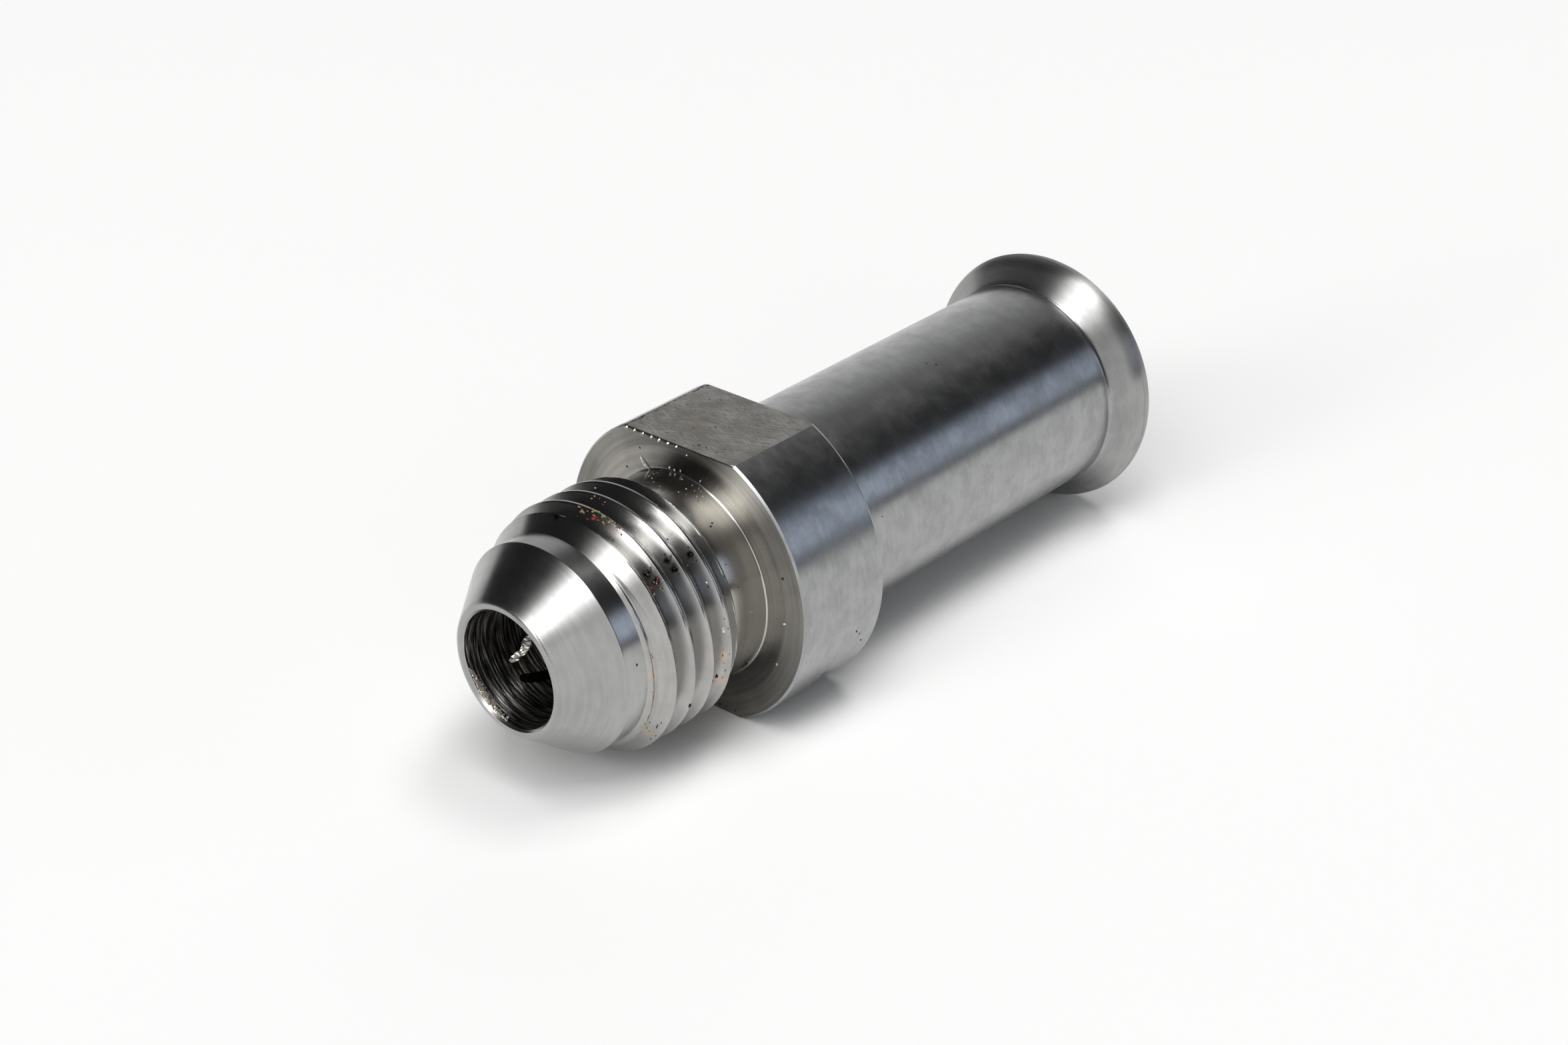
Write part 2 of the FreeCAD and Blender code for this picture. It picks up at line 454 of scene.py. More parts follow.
class FITTING_OT_body(bpy.types.Operator):
    """Turns the body, cuts its thread and mills its flats"""

    bl_idname = "fitting.body"
    bl_label = "Turned body"

    def execute(self, context):
        sizes = context.scene.fitting_sizes
        tool = sizes.tool_nose
        bm = bmesh.new()
        cut_thread(bm, sizes)
        land_end, neck_start = thread_span(sizes)
        collar_front = sizes.nose_to_collar
        collar_rear = collar_front + sizes.collar_length
        bead_top = OVERALL - sizes.bead_crest - sizes.bead_crest * math.tan(BEAD_HALF_TURN)
        ramp_foot = bead_top - (sizes.bead - sizes.stem) / 2 / math.tan(sizes.ramp_angle)
        crisp, soft = 0.03 * MM, 0.10 * MM
        corners = [
            (neck_start + SEAM, sizes.neck / 2, 0.0),
            (collar_front, sizes.neck / 2, tool),
            (collar_front, sizes.collar / 2 - sizes.front_chamfer, crisp),
            (collar_front + sizes.front_chamfer, sizes.collar / 2, crisp),
            (collar_rear - 2 * sizes.rear_chamfer, sizes.collar / 2, crisp / 2),
            (collar_rear, sizes.collar / 2 - sizes.rear_chamfer, crisp / 2),
            (collar_rear, sizes.stem / 2, tool),
            (ramp_foot, sizes.stem / 2, sizes.ramp_round),
            (bead_top, sizes.bead / 2, sizes.bead_crest),
            (OVERALL, sizes.bead / 2, sizes.bead_crest),
            (OVERALL, sizes.bore / 2 + sizes.hose_bore_chamfer, crisp),
            (OVERALL - sizes.hose_bore_chamfer, sizes.bore / 2, 0.0),
            (sizes.nose_bore_chamfer, sizes.bore / 2, soft),
            (0.0, sizes.bore / 2 + sizes.nose_bore_chamfer, crisp),
            (0.0, sizes.rim / 2, sizes.rim_round),
            (seat_end(sizes), sizes.seat_base / 2, soft),
            (land_end - SEAM, sizes.seat_base / 2, 0.0),
        ]
        blank = bmesh.new()
        spin_outline(blank, [tuple(point) for point in turned_outline(corners)])
        held = bpy.data.meshes.new("blank")
        blank.to_mesh(held)
        blank.free()
        bm.from_mesh(held)
        bpy.data.meshes.remove(held)
        for x in (land_end, neck_start):
            bmesh.ops.bridge_loops(bm, edges=open_edges(bm, x))
        bmesh.ops.recalc_face_normals(bm, faces=bm.faces)
        share_finishes(bm, sizes)
        mill_flats(bm, sizes)
        bmesh.ops.recalc_face_normals(bm, faces=bm.faces)
        if not all(edge.is_manifold for edge in bm.edges):
            raise RuntimeError("the turned body isn't closed")
        body = add_piece("turned_body", bm, [steel_finish(name) for name in FINISHES])
        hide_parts(NODE)
        return {"FINISHED"}


# Burrs, swarf and grit


def on_turn(x, degrees, radius):
    """A point on the turned body: x from the nose, degrees from the top towards -Y, radius, in mm."""
    a = math.radians(degrees)
    return Vector((NOSE_X + x * MM, -radius * MM * math.sin(a), AXIS_Z + radius * MM * math.cos(a)))


def outward(degrees):
    """The direction away from the axis."""
    a = math.radians(degrees)
    return Vector((0.0, -math.sin(a), math.cos(a)))


def add_grain(bm, place, normal, size, stretch, rng):
    """One small flattened grain that sits on a surface."""
    spin = Matrix.Rotation(rng.uniform(0, math.tau), 4, "Z")
    shape = Matrix.Diagonal((size * stretch / 2, size / 2, size * 0.3, 1.0))
    facing = normal.to_track_quat("Z", "Y").to_matrix().to_4x4()
    matrix = Matrix.Translation(place) @ facing @ spin @ shape
    made = bmesh.ops.create_icosphere(bm, subdivisions=1, radius=1.0, matrix=matrix)["verts"]
    for vertex in made:
        vertex.co += Vector([rng.uniform(-0.14, 0.14) * size for _ in range(3)])


def thread_spot(sizes, x, degrees):
    """A place on the thread's own surface, in mm."""
    turn = math.radians(degrees)
    radius = min(thread_radius(sizes, x * MM, turn), chamfer_radius(sizes, x * MM))
    return on_turn(x, degrees, radius / MM)


def ribbon(bm, path, width, thickness, twist, facing, across=1):
    """A thin bent strip through the points of a path, its broad side turned to a direction and twisted."""
    spans = len(path) - 1
    made = bmesh.ops.create_grid(bm, x_segments=8 * spans, y_segments=across, size=0.5)["verts"]
    for vertex in made:
        t = (vertex.co.x + 0.5) * spans
        i = min(int(t), spans - 1)
        before, after = path[max(i - 1, 0)], path[min(i + 2, spans)]
        part = t - i
        here, there = path[i], path[i + 1]
        # a smooth curve through the points
        lead, trail = (there - before) / 2, (after - here) / 2
        square, cube = part**2, part**3
        place = here * (2 * cube - 3 * square + 1) + lead * (cube - 2 * square + part)
        place += there * (3 * square - 2 * cube) + trail * (cube - square)
        run = (there - here).normalized()
        side = run.cross(facing).normalized()
        side.rotate(Matrix.Rotation(twist * (t / spans - 0.5), 3, run))
        taper = 1 - 0.7 * abs(2 * t / spans - 1) ** 3
        vertex.co = place + side * vertex.co.y * width * taper
    faces = list(dict.fromkeys(face for vertex in made for face in vertex.link_faces))
    bmesh.ops.solidify(bm, geom=faces, thickness=thickness)


class FITTING_OT_burrs(bpy.types.Operator):
    """Leaves the milling burr on the upper flat's front edge and the ragged burr in the nose"""

    bl_idname = "fitting.burrs"
    bl_label = "Burrs"

    def execute(self, context):
        sizes = context.scene.fitting_sizes
        rng = random.Random(11)
        top = AXIS_Z + sizes.across_flats / 2
        edge_x = NOSE_X + sizes.nose_to_collar
        # the lip of burr along the edge, ragged on its left half and coloured near black as a painted
        # shadow, its sizes in mm
        lip = bmesh.new()
        lip_length, sunk, overhang = 8.04, 0.012, 0.3
        even_height, ragged_height, roughness = 0.045, 0.07, 1.4
        even_depth, ragged_depth = 0.04, 0.03
        bmesh.ops.create_cube(lip, size=1.0)
        long_edges = [e for e in lip.edges if abs(e.verts[0].co.y - e.verts[1].co.y) > 0.5]
        bmesh.ops.subdivide_edges(lip, edges=long_edges, cuts=90, use_grid_fill=True)
        for vertex in lip.verts:
            rough = noise.noise(Vector((vertex.co.y * 46, vertex.co.x * 3, vertex.co.z * 3)))
            ragged = min(max(0.5 + 5 * vertex.co.y, 0.0), 1.0)
            high = even_height + ragged_height * ragged * (1 + roughness * rough)
            deep = even_depth + ragged_depth * ragged
            x = edge_x + (vertex.co.x - overhang) * deep * MM
            z = top - sunk * MM + (vertex.co.z - 0.5) * high * MM
            vertex.co = Vector((x, vertex.co.y * lip_length * MM, z))
        dark = plain_finish("burr_shadow", (0.06, 0.052, 0.045), 1.0, 0.5)
        add_piece("flat_edge_shadow_lip", lip, [dark], smooth=False)
        # the bright teeth that the cutter pushed over it
        teeth = bmesh.new()
        for y in (3.82, 3.22, 2.58, 1.93, 1.33, 0.69, 0.04):
            reach, drop = rng.uniform(0.12, 0.17), rng.uniform(0.12, 0.20)
            root, bend = (0.03, 0.03, 0.03), (-0.4 * reach, 0.0, 0.05)
            hook, tip = (-0.85 * reach, 0.04, 0.1), (-reach, 0.06, drop)
            steps = (root, bend, hook, tip)
            path = [Vector((edge_x + dx * MM, (y + dy) * MM, top - dz * MM)) for dx, dy, dz in steps]
            width, twist = rng.uniform(0.07, 0.10) * MM, rng.uniform(-0.5, 0.5)
            ribbon(teeth, path, width, 0.02 * MM, twist, Vector((-0.5, -0.5, 0.7)))
        bright = plain_finish("bright_burr", (0.90, 0.89, 0.86), 0.7, 0.3)
        add_piece("flat_edge_teeth", teeth, [bright])
        # the torn burr on the lower left of the nose's mouth: a ragged strip over the chamfer, then flakes
        torn = bmesh.new()
        middle, sweep = -139, 66
        bore = sizes.bore / 2 / MM
        made = bmesh.ops.create_grid(torn, x_segments=110, y_segments=5, size=0.5)["verts"]
        for vertex in made:
            degrees = middle + sweep * vertex.co.x
            across = vertex.co.y + 0.5
            fringe = 1 - (2 * abs(vertex.co.x)) ** 4
            wild = noise.noise(Vector((degrees * 0.45, across * 2.2, 3.0)))
            fine = noise.noise(Vector((degrees * 1.6, across * 5, 9.0)))
            x = 0.012 + 0.50 * across * fringe * (1 + 0.7 * wild)
            radius = bore + max(0.19 - x, 0.0) - 0.012 - 0.05 * fringe * abs(fine)
            vertex.co = on_turn(x, degrees + 1.5 * fine * across, radius)
        bmesh.ops.solidify(torn, geom=torn.faces[:], thickness=0.01 * MM)
        for _ in range(22):
            degrees = rng.uniform(-172, -104)
            size = rng.uniform(0.08, 0.20) * MM
            x = rng.uniform(0.9, 1.8) * size / MM + 0.05
            radius = bore + max(0.15 - x, 0.0) - 0.03
            add_grain(torn, on_turn(x, degrees, radius), -outward(degrees), size, rng.uniform(1.0, 1.8), rng)
        yellowish = plain_finish("torn_burr", (0.90, 0.83, 0.72), 0.75, 0.28)
        add_piece("mouth_burr", torn, [yellowish], smooth=False)
        return {"FINISHED"}


class FITTING_OT_swarf(bpy.types.Operator):
    """Leaves a curled chip in the passage and a near-black sliver that paints the chip's shadow"""

    bl_idname = "fitting.swarf"
    bl_label = "Swarf"

    def execute(self, context):
        towards_mouth, towards_light = Vector((-0.63, -0.58, 0.51)), Vector((-0.68, -0.38, 0.63))
        chip = bmesh.new()
        # each bend: its points, then its width in mm and its twist
        bends = (
            (((2.70, -121.5, 3.22), (3.00, -120.5, 3.08), (3.40, -117.5, 2.95)), 0.36, 0.7),
            (((3.30, -121.0, 2.98), (3.65, -114.5, 2.80), (4.05, -107.0, 2.75)), 0.46, 1.1),
            (((3.55, -112.0, 2.85), (4.00, -108.5, 2.80), (4.50, -105.0, 2.95)), 0.40, -1.3),
            (((3.55, -122.0, 3.15), (3.90, -118.0, 3.05), (4.50, -116.0, 3.20)), 0.26, 1.6),
        )
        for points, width, twist in bends:
            path = [on_turn(*spot) for spot in points]
            ribbon(chip, path, width * MM, 0.04 * MM, twist, towards_light, across=3)
        # unseeded, these vectors would change from run to run
        noise.seed_set(5)
        for vertex in chip.verts:
            vertex.co += noise.noise_vector(vertex.co * 6400) * 0.08 * MM
        bright = plain_finish("bright_chip", (0.97, 0.93, 0.86), 0.85, 0.3)
        add_piece("curled_chip", chip, [bright], smooth=False)
        # a near-black sliver on the bore wall: painted shadow of the curled chip
        sliver = bmesh.new()
        path = [(2.7, -139, 3.2), (3.2, -145, 3.1), (3.8, -149, 3.05), (4.6, -151, 3.15)]
        ribbon(sliver, [on_turn(*spot) for spot in path], 0.42 * MM, 0.12 * MM, 0.4, towards_mouth)
        add_piece("chip_shadow_sliver", sliver, [plain_finish("chip_shadow_sliver", (0.006, 0.006, 0.006), 1.0, 0.6)])
        return {"FINISHED"}


class FITTING_OT_grit(bpy.types.Operator):
    """Scatters the specks of dirt, rust and bright chips"""

    bl_idname = "fitting.grit"
    bl_label = "Grit and chips"

    def execute(self, context):
        sizes = context.scene.fitting_sizes
        finish = context.scene.fitting_finish
        rng = random.Random(5)
        neck = sizes.neck / 2 / MM
        collar = sizes.collar / 2 / MM
        stem = sizes.stem / 2 / MM
        face_x = sizes.nose_to_collar / MM
        grains = {kind: bmesh.new() for kind in ("dark", "rust", "tan", "bright")}

        def scatter(draw, kind, count, along, around, size_range, radius=None, stretch=None):
            """Strews specks of one kind over the thread, or over the turned surface of a radius."""
            for _ in range(count):
                x, degrees = draw.uniform(*along), draw.uniform(*around)
                size = draw.uniform(*size_range) * MM
                spot = on_turn(x, degrees, radius) if radius else thread_spot(sizes, x, degrees)
                longer = stretch or draw.uniform(1.0, 1.8)
                add_grain(grains[kind], spot, outward(degrees), size, longer, draw)

        for kind, *spots in THREAD_SPECKS:
            for x, degrees, size in spots:
                spot = thread_spot(sizes, x, degrees)
                add_grain(grains[kind], spot, outward(degrees), size * MM, rng.uniform(1.0, 1.6), rng)
        for bunch in BUNCHES:
            scatter(rng, *bunch)
        # the specks on top of the neck
        for kind, count, size_range in (("bright", 18, (0.04, 0.08)), ("dark", 6, (0.05, 0.08))):
            scatter(rng, kind, count, (11.7, 13.4), (-22, 26), size_range, neck, 1.3)
        low_rng = random.Random(11)
        for bunch in LOW_BUNCHES:
            scatter(low_rng, *bunch, stretch=1.5)
        # x, degrees and size of each single dark speck on a turned surface, by its radius
        necks = ((12.12, 36.3, 0.12), (11.9, 37.5, 0.12), (11.44, 57.8, 0.08), (11.66, 71.0, 0.10))
        on_sides = [
            (neck, *necks, (13.1, 129.4, 0.24), (13.0, 131.0, 0.16)),
            (stem, (22.95, 74.8, 0.09)),
            (collar, (18.1, 107.4, 0.12), (18.5, 110.0, 0.09), (18.9, 114.9, 0.14)),
            (sizes.seat_base / 2 / MM, (3.7, 80.6, 0.12)),
        ]
        for radius, *spots in on_sides:
            for x, degrees, size in spots:
                spot = on_turn(x, degrees, radius)
                add_grain(grains["dark"], spot, outward(degrees), size * MM, 1.3, rng)
        forwards = Vector((-1, 0, 0))
        for kind, *spots in FACE_SPECKS:
            for radius, degrees, size in spots:
                add_grain(grains[kind], on_turn(face_x, degrees, radius), forwards, size * MM, 1.4, rng)
        bends = ((0.05, -25, 6.95), (0.12, -24, 6.5), (0.06, -22, 6.22))
        hair = [on_turn(face_x - lift, degrees, radius) for lift, degrees, radius in bends]
        ribbon(grains["bright"], hair, 0.07 * MM, 0.03 * MM, 1.0, forwards)
        # the bright specks and the hair are real bits, and the specks' near-white, half-diffuse colour is
        # also a painted glint
        looks = {
            "dark": ("dark_grit", finish.grime, 0.0, 0.7),
            "rust": ("rust_grit", finish.rust, 0.0, 0.6),
            "tan": ("tan_grit", finish.tan, 0.0, 0.6),
            "bright": ("glinting_specks", (0.95, 0.94, 0.92), 0.4, 0.25),
        }
        for kind, look in looks.items():
            add_piece(look[0], grains[kind], [plain_finish(*look)], smooth=False)
        return {"FINISHED"}


# Materials


def node(tree, kind, inputs=None, **settings):
    """Adds a node, sets it and feeds its inputs with values or with other nodes' outputs."""
    made = tree.nodes.new(kind)
    for name, value in settings.items():
        setattr(made, name, value)
    for key, value in (inputs or {}).items():
        if isinstance(value, bpy.types.NodeSocket):
            tree.links.new(value, made.inputs[key])
        else:
            made.inputs[key].default_value = value
    return made


def calc(tree, operation, *values):
    """The output of a Math node."""
    return node(tree, "ShaderNodeMath", dict(enumerate(values)), operation=operation).outputs[0]


def product(tree, *values):
    """The product of two or more values."""
    total = values[0]
    for value in values[1:]:
        total = calc(tree, "MULTIPLY", total, value)
    return total


def on_object(tree):
    """The place on the object."""
    return node(tree, "ShaderNodeTexCoord").outputs["Object"]


def cloud(tree, vector, scale, detail, **inputs):
    """The value of a Noise texture, which a W makes four-dimensional."""
    inputs = {"Vector": vector, "Scale": scale, "Detail": detail, **inputs}
    kind = "4D" if "W" in inputs else "3D"
    return node(tree, "ShaderNodeTexNoise", inputs, noise_dimensions=kind).outputs[0]


def vector_calc(tree, operation, *vectors):
    """The node of a Vector Math operation."""
    return node(tree, "ShaderNodeVectorMath", dict(enumerate(vectors)), operation=operation)


def fade(tree, value, low, high, start=0.0, end=1.0):
    """A smooth step of a value from start, at low, to end, at high."""
    inputs = {"Value": value, "From Min": low, "From Max": high, "To Min": start, "To Max": end}
    return node(tree, "ShaderNodeMapRange", inputs, interpolation_type="SMOOTHSTEP").outputs[0]


def mix_colours(tree, factor, first, second, blend="MIX"):
    """The output of a colour Mix node."""
    made = node(tree, "ShaderNodeMix", data_type="RGBA", blend_type=blend)
    for key, value in ((0, factor), (6, first), (7, second)):
        if isinstance(value, bpy.types.NodeSocket):
            tree.links.new(value, made.inputs[key])
        elif key == 0:
            made.inputs[key].default_value = value
        else:
            made.inputs[key].default_value = (*value[:3], 1.0)
    return made.outputs[2]


def grey(tree, value):
    """A value as a grey colour."""
    return node(tree, "ShaderNodeCombineColor", {0: value, 1: value, 2: value}).outputs[0]


def new_group(name, inputs, outputs):
    """An empty shader node group with float inputs and outputs."""
    tree = bpy.data.node_groups.new(name, "ShaderNodeTree")
    for label, default in inputs:
        socket = tree.interface.new_socket(label, in_out="INPUT", socket_type="NodeSocketFloat")
        socket.default_value = default
    for label in outputs:
        tree.interface.new_socket(label, in_out="OUTPUT", socket_type="NodeSocketFloat")
    return tree, tree.nodes.new("NodeGroupInput"), tree.nodes.new("NodeGroupOutput")


def lathe_marks():
    """Group: grooves and streaks round the axis, dull patches, and the place along and off it in mm."""
    if "lathe_marks" in bpy.data.node_groups:
        return bpy.data.node_groups["lathe_marks"]
    inputs = [("Groove Width", 0.12), ("Groove Length", 2.5), ("Patch Size", 3.0)]
    outputs = ("Height", "Streaks", "Patches", "Along", "Radius")
    tree, given, out = new_group("lathe_marks", inputs, outputs)
    centred = node(tree, "ShaderNodeMapping", {"Vector": on_object(tree)})
    centred.inputs["Location"].default_value = (-NOSE_X / MM, 0, -AXIS_Z / MM)
    centred.inputs["Scale"].default_value = (1 / MM, 1 / MM, 1 / MM)
    x, y, z = node(tree, "ShaderNodeSeparateXYZ", {"Vector": centred.outputs[0]}).outputs
    radius = calc(tree, "SQRT", calc(tree, "ADD", product(tree, y, y), product(tree, z, z)))
    across = [calc(tree, "DIVIDE", value, given.outputs["Groove Width"]) for value in (x, radius)]
    round_y, round_z = [calc(tree, "DIVIDE", value, given.outputs["Groove Length"]) for value in (y, z)]
    vector = node(tree, "ShaderNodeCombineXYZ", {0: across[0], 1: round_y, 2: round_z}).outputs[0]
    # the streaks are broader than the grooves
    streak_share = 0.28
    slow = vector_calc(tree, "MULTIPLY", vector, (streak_share, 1.0, 1.0)).outputs[0]
    size = calc(tree, "DIVIDE", 1.0, given.outputs["Patch Size"])
    made = {
        "Height": cloud(tree, vector, 1.0, 2.0, W=across[1], Roughness=0.6),
        "Streaks": cloud(tree, slow, 1.0, 4.0, W=product(tree, across[1], streak_share)),
        "Patches": cloud(tree, centred.outputs[0], size, 6.0, Roughness=0.65),
        "Along": x,
        "Radius": radius,
    }
    for name, value in made.items():
        tree.links.new(value, out.inputs[name])
    return tree


def new_material(name):
    """An empty node material with its Principled shader."""
    material = bpy.data.materials.new(name)
    material.use_nodes = True
    tree = material.node_tree
    tree.nodes.clear()
    shader = tree.nodes.new("ShaderNodeBsdfPrincipled")
    out = tree.nodes.new("ShaderNodeOutputMaterial")
    tree.links.new(shader.outputs[0], out.inputs["Surface"])
    return material, tree, shader


def dress(tree, shader, tone, metallic, rough, height=None, depth=0.0):
    """Feeds the shader its colour, its roughness and the relief of its marks, depth in mm."""
    tree.links.new(tone, shader.inputs["Base Color"])
    shader.inputs["Metallic"].default_value = metallic
    tree.links.new(rough, shader.inputs["Roughness"])
    if height:
        bump = node(tree, "ShaderNodeBump", {"Strength": 1.0, "Distance": depth * MM, "Height": height})
        tree.links.new(bump.outputs[0], shader.inputs["Normal"])


def near(tree, spot, size):
    """A ragged mask that is 1 within about size mm of a spot."""
    place = on_object(tree)
    away = vector_calc(tree, "DISTANCE", place, spot).outputs["Value"]
    edge = calc(tree, "MULTIPLY_ADD", cloud(tree, place, 4 / MM, 3.0), size * MM, away)
    return fade(tree, edge, 0.7 * size * MM, 1.25 * size * MM, 1.0, 0.0)


def steel_finish(name):
    """The material of one finish of the body."""
    if name == "milled":
        return milled_steel()
    finish = bpy.context.scene.fitting_finish
    # roughness, stretch of a reflection across the grooves, width, length and depth of the grooves and
    # size of the patches in mm, strength of the patches and of the streaks, tint
    table = {
        "nose": (finish.nose_roughness, 0.0, 0.06, 3.0, 0.0007, 2.4, 0.10, 0.08, (0.97, 0.97, 0.975)),
        "thread": (finish.thread_roughness, 0.70, 0.07, 5.0, 0.0004, 2.4, 0.12, 0.08, (1.08, 1.07, 1.06)),
        "neck": (finish.neck_roughness, 0.50, 0.07, 5.0, 0.0004, 2.4, 0.12, 0.08, (1.40, 1.35, 1.29)),
        "faced": (finish.face_roughness, 0.97, 0.06, 7.0, 0.0016, 2.4, 0.12, 0.18, (0.82, 0.79, 0.74)),
        "stem": (finish.stem_roughness, 0.05, 0.05, 1.2, 0.0004, 1.3, 0.14, 0.08, (0.90, 0.91, 0.925)),
        "bead": (finish.bead_roughness, 0.92, 0.05, 1.2, 0.0007, 2.4, 0.10, 0.08, (0.97, 0.97, 0.98)),
        "bored": (0.32, 0.30, 0.034, 1.8, 0.0300, 2.4, 0.50, 0.94, (1.0, 1.0, 1.0)),
    }
    rough, grain, width, reach, depth, patch, mottling, streak, tint = table[name]
    material, tree, shader = new_material(name + "_steel")
    marks = node(tree, "ShaderNodeGroup", node_tree=lathe_marks())
    for socket, value in (("Groove Width", width), ("Groove Length", reach), ("Patch Size", patch)):
        marks.inputs[socket].default_value = value
    height, streak_value, patch_value, along, off_axis = marks.outputs
    steel = finish.bore if name == "bored" else [c * t for c, t in zip(finish.steel, tint)]
    streak_low = 0.44 if name == "bored" else NOISE_LOW
    patches = fade(tree, patch_value, NOISE_LOW, NOISE_HIGH, 1 - mottling, 1.0)
    streaks = fade(tree, streak_value, streak_low, NOISE_HIGH, 1 - streak, 1.0)
    shade = grey(tree, product(tree, patches, streaks))
    tone = mix_colours(tree, 1.0, (*steel, 1.0), shade, "MULTIPLY")
    if name == "thread":
        # painted shade: the roots of the full turns darkened in uneven patches
        root_shade = fade(tree, off_axis, 6.30, 6.42, 1.0, 0.0)
        behind = fade(tree, along, 10.2, 10.9, 1.0, 0.0)
        ahead = fade(tree, along, 4.6, 5.4)
        uneven = fade(tree, patch_value, 0.38, 0.6, 0.35, 0.95)
        tone = mix_colours(tree, product(tree, root_shade, behind, ahead, uneven), tone, (0.050, 0.038, 0.030))
    # real stains, and on the bore a painted light patch
    for x, degrees, radius, size, stain_and_lit_tone in STAINS_AND_LIT_PATCH.get(name, ()):
        spot = mix_colours(tree, 1.0, stain_and_lit_tone, shade, "MULTIPLY")
        tone = mix_colours(tree, near(tree, on_turn(x, degrees, radius), size), tone, spot)
    dull = fade(tree, patch_value, NOISE_LOW, NOISE_HIGH, rough + 0.03, rough - 0.02)
    if name == "faced":
        # the collar's face is brighter by the neck
        dull = calc(tree, "ADD", dull, fade(tree, off_axis, 7.2, 7.8, -0.22, 0.0))
    dress(tree, shader, tone, 1.0, dull, height, depth)
    shader.inputs["Anisotropic"].default_value = grain
    shader.inputs["Anisotropic Rotation"].default_value = 0.25
    tangent = node(tree, "ShaderNodeTangent", direction_type="RADIAL", axis="X")
    tree.links.new(tangent.outputs[0], shader.inputs["Tangent"])
    return material


def milled_steel():
    """Steel with the crossing marks of the milling cutter, a dry oil film and specks by the left edge."""
    finish = bpy.context.scene.fitting_finish
    material, tree, shader = new_material("milled_steel")
    place = on_object(tree)
    scratches = []
    # degrees, width and length in mm
    for turn, wide, long in ((112.0, 0.07, 1.3), (68.0, 0.09, 0.8), (152.0, 0.05, 0.6)):
        given = {"Vector": place, "Rotation": (0, 0, math.radians(turn))}
        turned = node(tree, "ShaderNodeMapping", given, vector_type="TEXTURE")
        turned.inputs["Scale"].default_value = (long * MM, wide * MM, MM)
        scratches.append(cloud(tree, turned.outputs[0], 1.0, 4.0, Roughness=0.65, Distortion=0.3))
    both = calc(tree, "MULTIPLY_ADD", scratches[0], 0.6, product(tree, scratches[1], 0.4))
    patches = cloud(tree, place, 0.8 / MM, 7.0)
    worn, bare = [c * 1.05 for c in finish.steel], [c * 1.5 for c in finish.steel]
    film = mix_colours(tree, fade(tree, patches, 0.25, 0.75), finish.film, worn)
    tone = mix_colours(tree, fade(tree, both, 0.36, 0.58), [c * 0.72 for c in finish.film], film)
    tone = mix_colours(tree, fade(tree, scratches[2], 0.60, 0.72, 0.0, 0.6), tone, bare)
    # dark specks in a line near the left edge and thinly elsewhere
    y = node(tree, "ShaderNodeSeparateXYZ", {0: place}).outputs[1]
    from_line = calc(tree, "ABSOLUTE", calc(tree, "SUBTRACT", y, 3.93 * MM))
    line = fade(tree, from_line, 0.05 * MM, 0.16 * MM, 0.16, 0.0)
    specks = calc(tree, "ADD", cloud(tree, place, 5 / MM, 1.0), line)
    tone = mix_colours(tree, fade(tree, specks, 0.72, 0.76), tone, finish.grime)
    # one red speck
    speck = Vector((NOSE_X + 15.47 * MM, 0.81 * MM, AXIS_Z * 2))
    tone = mix_colours(tree, near(tree, speck, 0.12), tone, (0.06, 0.016, 0.012))
    dress(tree, shader, tone, 1.0, fade(tree, both, 0.36, 0.6, 0.46, 0.36), both, 0.004)
    return material


def plain_finish(name, tint, metallic, rough):
    """A speckled finish for grit, chips and swarf."""
    material, tree, shader = new_material(name)
    specks = cloud(tree, on_object(tree), 9 / MM, 3.0)
    tone = mix_colours(tree, fade(tree, specks, 0.35, 0.65), [c * 0.45 for c in tint], tint)
    dress(tree, shader, tone, metallic, fade(tree, specks, 0.35, 0.65, rough + 0.12, rough))
    return material


# Stage


def aim(azimuth, elevation):
    """The direction of a compass angle from +Y towards +X and a height above the floor, in degrees."""
    a, e = math.radians(azimuth), math.radians(elevation)
    return Vector((math.sin(a) * math.cos(e), math.cos(a) * math.cos(e), math.sin(e)))


def soft_lamp(name, azimuth, elevation, wide, high, radiance):
    """A softbox that faces the fitting and fills the angles wide and high."""
    data = bpy.data.lights.new(name, "AREA")
    data.shape = "RECTANGLE"
    data.size = 2 * LAMP_DISTANCE * math.tan(math.radians(wide / 2))
    data.size_y = 2 * LAMP_DISTANCE * math.tan(math.radians(high / 2))
    data.energy = radiance * math.pi * data.size * data.size_y
    data.color = LAMP_TINT
    lamp = bpy.data.objects.new(name, data)
    way = aim(azimuth, elevation)
    lamp.location = Vector((0, 0, AXIS_Z)) + way * LAMP_DISTANCE
    lamp.rotation_euler = way.to_track_quat("Z", "Y").to_euler()
    bpy.context.scene.collection.objects.link(lamp)


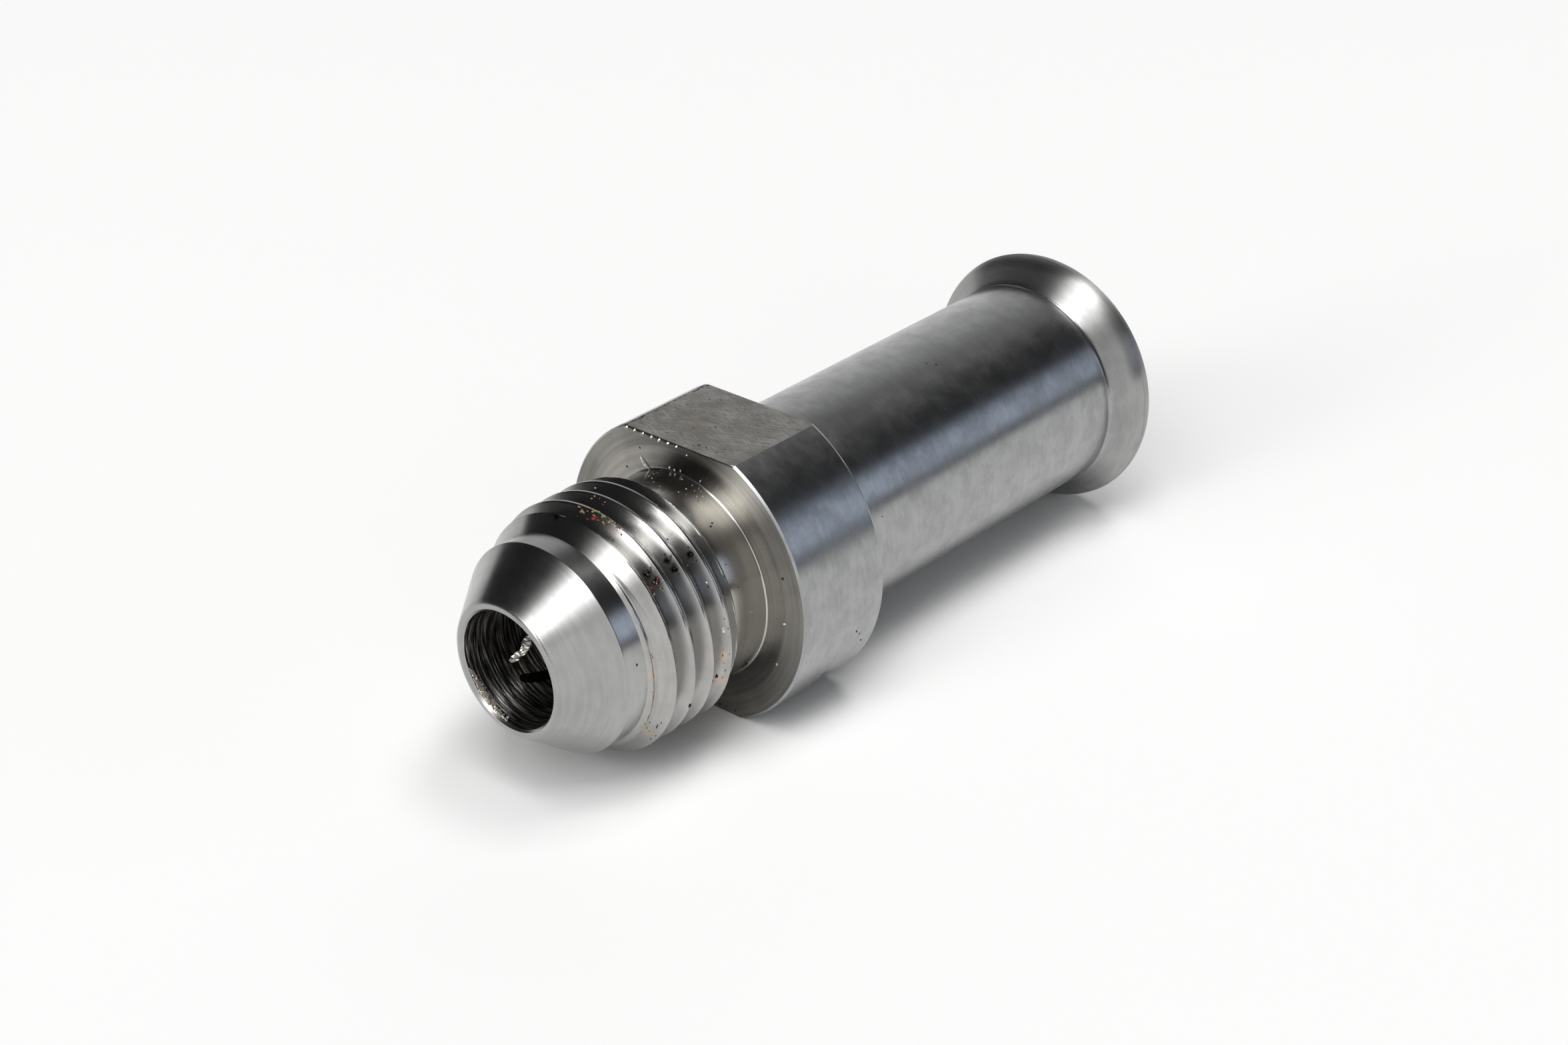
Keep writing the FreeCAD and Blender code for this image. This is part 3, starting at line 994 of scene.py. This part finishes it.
def studio_world(settings):
    """A dim room with a pale sweep behind the fitting and soft walls round it."""
    world = bpy.data.worlds.new("studio")
    world.use_nodes = True
    tree = world.node_tree
    tree.nodes.clear()
    way = node(tree, "ShaderNodeTexCoord").outputs["Generated"]
    height = calc(tree, "ARCSINE", node(tree, "ShaderNodeSeparateXYZ", {0: way}).outputs[2])
    height = product(tree, height, 180 / math.pi)
    flat = vector_calc(tree, "MULTIPLY", way, (1, 1, 0)).outputs[0]
    flat = vector_calc(tree, "NORMALIZE", flat).outputs[0]

    # all angles and heights in degrees
    def window(azimuth, inner, outer):
        """1 within inner of an azimuth, fading to 0 at outer."""
        side = vector_calc(tree, "DOT_PRODUCT", flat, aim(azimuth, 0)).outputs[1]
        return fade(tree, side, math.cos(math.radians(outer)), math.cos(math.radians(inner)))

    def down(low, high, start=1.0, end=0.0):
        """A fade with the height above the floor."""
        return fade(tree, height, low, high, start, end)

    def between(low_start, low_end, high_start, high_end):
        """1 between two heights."""
        return product(tree, fade(tree, height, low_start, low_end), down(high_start, high_end))

    # the pale sweep behind the fitting
    sweep = product(tree, window(60, 8, 40), down(34, 50), down(0, 40, 0.92, 0.54))
    # the pale backdrop low over the floor, towards -X and towards +Y
    towards_nose = product(tree, window(-90, 16, 24), down(4, 8.5), down(0, 3, 0.95, 0.78))
    towards_back = product(tree, window(0, 16, 24), down(5, 11, 0.78, 0.0))
    low = calc(tree, "MAXIMUM", towards_nose, towards_back)
    # the soft edge of the key box, the wall behind the camera and the bluish one to its right
    glow = vector_calc(tree, "DOT_PRODUCT", way, aim(-112, 46)).outputs[1]
    glow = fade(tree, glow, math.cos(math.radians(36)), math.cos(math.radians(14)), 0.0, 0.8)
    left = product(tree, window(-136, 14, 34), between(-6, 3, 24, 44))
    right = product(tree, window(143, 10, 22), between(4, 10, 22, 32))
    light = calc(tree, "MAXIMUM", calc(tree, "MAXIMUM", sweep, low), calc(tree, "MAXIMUM", glow, left))
    blue = mix_colours(tree, right, (0.0, 0.0, 0.0), (0.72, 0.82, 1.0))
    seen = mix_colours(tree, 1.0, (*settings.surroundings, 1.0), grey(tree, light), "ADD")
    seen = mix_colours(tree, 1.0, seen, blue, "ADD")
    background = node(tree, "ShaderNodeBackground", {"Color": seen, "Strength": 1.0})
    out = tree.nodes.new("ShaderNodeOutputWorld")
    tree.links.new(background.outputs[0], out.inputs["Surface"])
    bpy.context.scene.world = world


class FITTING_OT_stage(bpy.types.Operator):
    """Lays the floor, hangs the lamps and sets up the camera"""

    bl_idname = "fitting.stage"
    bl_label = "Stage"

    def execute(self, context):
        settings = context.scene.fitting_stage
        scene = context.scene
        material, _, shader = new_material("pale_floor")
        shader.inputs["Base Color"].default_value = (*settings.floor, 1.0)
        shader.inputs["Roughness"].default_value = 0.9
        shader.inputs["Specular IOR Level"].default_value = 0.0
        bm = bmesh.new()
        # a hair below the fitting, so that the two don't share a plane
        drop = Matrix.Translation((0.0, 0.0, -0.01 * MM))
        bmesh.ops.create_circle(bm, cap_ends=True, segments=96, radius=FLOOR_RADIUS, matrix=drop)
        mesh = bpy.data.meshes.new("floor")
        bm.to_mesh(mesh)
        bm.free()
        mesh.materials.append(material)
        floor = bpy.data.objects.new("floor", mesh)
        scene.collection.objects.link(floor)

        for name, lamp in LAMPS.items():
            soft_lamp(name, *lamp)
        studio_world(settings)

        data = bpy.data.cameras.new("camera")
        data.lens = settings.lens
        data.sensor_width = 36.0
        data.clip_start, data.clip_end = 0.005, 10.0
        camera = bpy.data.objects.new("camera", data)
        camera.location = settings.camera_place
        camera.rotation_euler = Euler(settings.camera_angle)
        scene.collection.objects.link(camera)
        scene.camera = camera
        scene.view_settings.view_transform = "Standard"
        return {"FINISHED"}


class FITTING_PT_panel(bpy.types.Panel):
    """Lists the pieces of the fitting"""

    bl_idname = "FITTING_PT_panel"
    bl_label = "Adapter fitting"
    bl_space_type = "VIEW_3D"
    bl_region_type = "UI"
    bl_category = "Fitting"

    def draw(self, context):
        for operator in OPERATORS:
            self.layout.operator(operator.bl_idname)
        for group in ("fitting_sizes", "fitting_finish", "fitting_stage"):
            box = self.layout.box()
            settings = getattr(context.scene, group)
            for name in settings.__annotations__:
                box.prop(settings, name)


GROUPS = {"fitting_sizes": FittingSizes, "fitting_finish": FittingFinish, "fitting_stage": StageSettings}
OPERATORS = (FITTING_OT_stage, FITTING_OT_body, FITTING_OT_burrs, FITTING_OT_swarf, FITTING_OT_grit)


def register():
    for cls in (*GROUPS.values(), *OPERATORS, FITTING_PT_panel):
        bpy.utils.register_class(cls)
    for name, group in GROUPS.items():
        setattr(bpy.types.Scene, name, bpy.props.PointerProperty(type=group))


def unregister():
    for name in GROUPS:
        delattr(bpy.types.Scene, name)
    for cls in (FITTING_PT_panel, *reversed(OPERATORS), *GROUPS.values()):
        bpy.utils.unregister_class(cls)


def main():
    """Builds the stage and every piece."""
    register()
    for operator in OPERATORS:
        area, name = operator.bl_idname.split(".")
        getattr(getattr(bpy.ops, area), name)()


if __name__ == "__main__":
    main()
